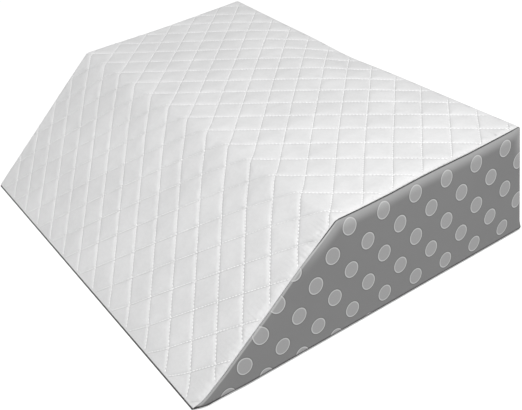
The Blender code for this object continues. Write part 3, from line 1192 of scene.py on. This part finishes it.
# %% The dotted finish
DOT_PERIOD = 0.04793
DOT_ROW = 0.02889
DOT_RADIUS = 0.0093
DOT_STRETCH = 1.17
DOT_ORIGIN = (0.20786, 0.13966)
DOT_RIM = 0.0010
DOT_SOFTNESS = 0.0003
HALO = (0.0004, 0.0006, 0.0016)
HALO_SHARE = 0.6
ROW_TILT = 0.0279
REAR_PULL_FROM = 0.32
REAR_PULL = 0.284
FRONT_PULL = 0.0008
SHOULDER_PULL = 0.0030
HIGH_PULL = 0.005
GROUND_GREYS = (0.186, 0.200)
DOT_GREY = 0.316
RIM_GREY = 0.50
HALO_GREY = 0.12


def from_dot(u, v):
    """The distance from the nearest dot's middle, where the block has pulled the rows askew."""
    u = u + u.rising(0.30, 0.46) * v.rising(0.07, 0.14) * HIGH_PULL
    rear = (u - REAR_PULL_FROM).at_least(0.0)
    pulled = v + (u - DOT_ORIGIN[0]) * ROW_TILT - rear * rear * REAR_PULL
    shoulder = u.rising(0.09, 0.17) - u.rising(0.17, 0.25)
    pulled = pulled - (1 - u.rising(0.13, 0.21)) * FRONT_PULL - shoulder * SHOULDER_PULL
    row = (DOT_ORIGIN[1] - pulled) / DOT_ROW
    number = (row + 0.5).math("FLOOR")
    odd = number.modulo(2.0).math("ABSOLUTE")
    along = (u - DOT_ORIGIN[0]) / DOT_PERIOD + odd * 0.5
    du = ((along + 0.5).math("FRACT") - 0.5) * DOT_PERIOD
    dv = (row - number) * (DOT_ROW / DOT_STRETCH)
    return (du * du + dv * dv).math("SQRT")


def step_at(distance, place):
    """0 before a place and 1 after it, over a narrow soft edge."""
    return distance.rising(place - DOT_SOFTNESS, place + DOT_SOFTNESS)


def printed_dots(finish, radius, ground):
    """The ground with dots, their paler rims and a narrow dark halo, and the dots' own mask."""
    dot = 1 - step_at(radius, DOT_RADIUS)
    rim = dot * step_at(radius, DOT_RADIUS - DOT_RIM)
    starts, ends_from, ends = (DOT_RADIUS + reach for reach in HALO)
    halo = radius.rising(DOT_RADIUS, starts) - radius.rising(ends_from, ends)
    colour = finish.mixed(dot, ground, grey(DOT_GREY))
    colour = finish.mixed(rim, colour, grey(RIM_GREY))
    return finish.mixed(halo * HALO_SHARE, colour, grey(HALO_GREY)), dot


# %% [markdown]
# ## Painted light and shade along the seam
# Light from the floor evens out the end, so the roll-over beside the seam would hardly show. The
# finish paints that roll-over paler as a highlight, paints shade as a dark line in the seam and
# along the foot, and draws a narrow pale line beside the seam at the front. Each panel has an
# attribute, from_seam, with every vertex's distance from the seam, and the finish reads it.

# %% The dotted cloth with its painted seam light and shade
PALE_GREY = 0.62
# painted highlight on the roll-over under the top seam
ROLLOVER_HIGHLIGHT_REACH = (0.001, 0.016)
ROLLOVER_HIGHLIGHT_HEIGHT = (0.10, 0.148)
ROLLOVER_HIGHLIGHT_SHARE = 0.34
EDGE_WIDTH = (0.0010, 0.0024)
EDGE_UNTIL = (0.18, 0.20)
EDGE_SHARE = 0.42
# the grey of the painted shade in the seam and of the painted shadow along the foot
PAINTED_SHADOW_GREY = 0.03
SEAM_SHADOW_WIDTH = 0.0010
SEAM_SHADOW_HEIGHT = (0.12, 0.145)
SEAM_SHADOW_SHARE = (0.06, 0.94)
FOOT_SHADOW_HEIGHT = (0.0034, 0.0062)
WEAVE_PER_METRE = 1100.0


def seam_marks(finish, u, v, colour):
    """Painted highlight on the roll-over, a pale line at the front seam, painted shade at seam and
    foot.
    """
    from_seam = finish.attribute("from_seam")
    # painted highlight: the roll-over under the top seam is drawn paler, as light from above would
    # show it
    rollover_highlight = (1 - from_seam.rising(*ROLLOVER_HIGHLIGHT_REACH)) * v.rising(*ROLLOVER_HIGHLIGHT_HEIGHT)
    edge = (1 - from_seam.rising(*EDGE_WIDTH)) * (1 - u.rising(*EDGE_UNTIL))
    pale = rollover_highlight * ROLLOVER_HIGHLIGHT_SHARE + edge * EDGE_SHARE
    # painted shade: sewn here is a dark line in the seam, strongest under the top seam
    everywhere, at_the_top = SEAM_SHADOW_SHARE
    share = everywhere + v.rising(*SEAM_SHADOW_HEIGHT) * at_the_top
    sewn = (1 - from_seam.rising(0.0, SEAM_SHADOW_WIDTH)) * share
    # painted shadow along the foot, where the end meets the floor
    foot = 1 - v.rising(*FOOT_SHADOW_HEIGHT)
    # pale holds the painted highlight on the roll-over and the narrow pale line at the front seam
    colour = finish.mixed(pale, colour, grey(PALE_GREY))
    # the seam line and the foot are painted shade
    return finish.mixed(sewn.at_least(foot), colour, grey(PAINTED_SHADOW_GREY))


def dotted_cloth():
    finish = Finish("grey_dotted_cloth", {"Specular IOR Level": 0.25})
    u, v, _ = finish.parts(finish.uv)
    weave = finish.noise(finish.place, WEAVE_PER_METRE, 2.0, 0.6)
    slow = finish.noise(finish.place, 18.0, 3.0)
    ground = finish.mixed(slow, *map(grey, GROUND_GREYS))
    printed, dot = printed_dots(finish, from_dot(u, v), ground)
    normal = finish.bumped(weave + dot * 0.25, 0.0003, 0.5)
    return finish.wear(seam_marks(finish, u, v, printed), 0.70 + weave * 0.16, normal)


dotted_finish = dotted_cloth()
for panel in end_panels.values():
    panel.data.materials.clear()
    panel.data.materials.append(dotted_finish)
print("dotted cloth nodes:", len(dotted_finish.node_tree.nodes))

# %% [markdown]
# ## Back and base panels
# The picture shows neither, so they are finished plainly: the back in the same dotted cloth, and the
# underside in a darker cloth of tight weave. Both are thin sheets with a turned-in rim. The seam
# marks of the dotted cloth belong to the ends, so the back's distances from its seam start past them.

# %% Cut the back and the base
PLAIN_GRID = 0.012
PLAIN_SEAM = 0.0024
LONG_STEPS = 60
SHORT_STEPS = 30
BACK_RISE = 0.0011
BACK_RIM = 0.006
BACK_SWELL = 0.0003
BACK_SHORTER = 0.0015
BASE_FROM = 0.0006
BASE_TURN_UP = 0.0006
BASE_RIM = 0.003
CLEARANCE = 0.0001


def flat_panel(name, low, high, place):
    """A thin rectangular panel. place sends its flat places to the straight block."""
    corners = np.array([(low[0], low[1]), (high[0], low[1]), (high[0], high[1]), (low[0], high[1])])
    sides, inward = [], []
    for k, steps in enumerate((LONG_STEPS, SHORT_STEPS, LONG_STEPS, SHORT_STEPS)):
        along = corners[(k + 1) % 4] - corners[k]
        sides += [corners[k] + along * step / steps for step in range(steps)]
        inward += [((0, 1), (-1, 0), (0, -1), (1, 0))[k]] * steps
    piece, co, away = flat_sheet(name, np.array(sides), np.array(inward, float), PLAIN_GRID)
    cloth_places = np.c_[co[:, 0], high[1] - co[:, 1]]
    lay_panel(piece, place(co, away), cloth_places, np.maximum(away, PLAIN_SEAM))
    return piece


def on_the_back(co, away):
    s = BY_NAME["rear_top"]["arc_to"] + co[:, 1]
    place, out = on_outline(s)
    rise = BACK_RISE * np.sqrt(np.clip(away / BACK_RIM, 0, 1))
    height = PANEL_GAP + rise + BACK_SWELL * eased(away, 0.03) - edge_drop(co[:, 0], s)
    height -= np.where(co[:, 2] < 0, BACK_RISE * thickening(away), 0.0)
    return np.c_[co[:, 0], place + out * height[:, None]]


def under_the_base(co, away):
    low = CLEARANCE + BASE_TURN_UP * (1 - np.clip(away / BASE_RIM, 0, 1)) ** 2
    z = np.where(co[:, 2] < 0, low, PANEL_THICKNESS - CLEARANCE)
    return np.c_[co[:, 0], co[:, 1], z]


back_length = BY_NAME["rear_foot"]["arc_to"] - BY_NAME["rear_top"]["arc_to"] - BACK_SHORTER
back_panel = flat_panel("rear_panel", (-HALF_BODY, 0.0), (HALF_BODY, back_length), on_the_back)
base_low = (-HALF_BODY, BASE_FROM)
base_high = (HALF_BODY, BY_NAME["rear_foot"]["end"].x)
base_panel = flat_panel("underside_panel", base_low, base_high, under_the_base)


BASE_WEAVE = 0.0016
BASE_GREYS = (0.075, 0.095)


def base_cloth():
    finish = Finish("grey_base_cloth", {"Roughness": 0.9, "Sheen Weight": 0.1})
    x, y, _ = finish.parts(finish.place)
    k = 2 * math.pi / BASE_WEAVE
    weave = (x * k).math("SINE") * (y * k).math("SINE")
    slow = finish.noise(finish.place, 22.0, 3.0)
    colour = finish.mixed(slow, *map(grey, BASE_GREYS))
    return finish.wear(colour, 0.84 + weave * 0.05, finish.bumped(weave, 0.0003, 0.6))


back_panel.data.materials.append(dotted_finish)
base_panel.data.materials.append(base_cloth())
print("back and base:", len(back_panel.data.polygons), len(base_panel.data.polygons), "faces")

# %% [markdown]
# ## Floor and light
# The picture is a cut-out on white, lit from high above by a large soft light, with plenty of fill.
# A wide sun does that, and a small lamp on the right brightens the near end of the top. A pale floor
# with a little glow of its own stays almost white and still takes a faint contact shadow, which is
# what seats the pillow.

# %% Floor, lamps and sky
FLOOR_HALF = 8.0
FLOOR_GLOW = 0.33
SUN_TOWARDS = (0.22, -0.08, 0.97)
SUN_SPREAD = 16.0
SUN_STRENGTH = 1.50
LAMP_PLACE = (0.80, 0.05, 1.20)
LAMP_SIZE = 0.45
LAMP_POWER = 6.5
SKY_STRENGTH = 0.26


def pale_floor():
    bm = bmesh.new()
    bmesh.ops.create_grid(bm, x_segments=1, y_segments=1, size=FLOOR_HALF)
    floor = object_of(bm, "floor", smooth=False)
    finish = Finish("pale_floor", {"Roughness": 0.95, "Emission Strength": FLOOR_GLOW})
    finish.surface.inputs["Emission Color"].default_value = (1, 1, 1, 1)
    speck = finish.noise(finish.place, 3.0)
    floor.data.materials.append(finish.wear(finish.mixed(speck, grey(0.90), grey(0.92))))
    return floor


def soft_light(name, kind, towards, strength):
    """A light that shines on the pillow from the direction towards it."""
    data = bpy.data.lights.new(name, kind)
    data.energy = strength
    light = bpy.data.objects.new(name, data)
    light.rotation_euler = Vector(towards).to_track_quat("Z", "Y").to_euler()
    bpy.context.scene.collection.objects.link(light)
    return light


def white_sky(strength):
    world = bpy.data.worlds.new("white_room")
    world.use_nodes = True
    sky = world.node_tree.nodes["Background"]
    sky.inputs["Color"].default_value = (1, 1, 1, 1)
    sky.inputs["Strength"].default_value = strength
    bpy.context.scene.world = world


pale_floor()
soft_light("wide_key", "SUN", SUN_TOWARDS, SUN_STRENGTH).data.angle = math.radians(SUN_SPREAD)
near_key = soft_light("near_key", "AREA", LAMP_PLACE, LAMP_POWER)
near_key.location = LAMP_PLACE
near_key.data.shape = "DISK"
near_key.data.size = LAMP_SIZE
white_sky(SKY_STRENGTH)
bpy.context.scene.view_settings.view_transform = "Standard"

# %% [markdown]
# ## Tie every piece to the imported model
# Each piece is listed with the CAD solid it stands for and the finish it wears; it rides with the
# root body, and that CAD solid is hidden. The cover is a filled cushion and the panels are thin
# sheets; the area of an end panel's outline, the size it was cut to, is worked out last.

# %% Ride and replace
pieces = (
    (cover, "quilted_block", "white_quilted_cloth"),
    (thread, None, "white_quilted_cloth"),
    (end_panels[-1], "side_panel_left", "grey_dotted_cloth"),
    (end_panels[1], "side_panel_right", "grey_dotted_cloth"),
    (back_panel, "back_panel", "grey_dotted_cloth"),
    (base_panel, "base_panel", "grey_base_cloth"),
)
for piece, node, slot in pieces:
    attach(piece, "root")
    if node:
        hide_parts(node)


def ring_area(ring):
    x, y = ring[:, 0], ring[:, 1]
    return abs(float((x * np.roll(y, -1) - y * np.roll(x, -1)).sum())) / 2


end_area = ring_area(end_ring(1)[0])
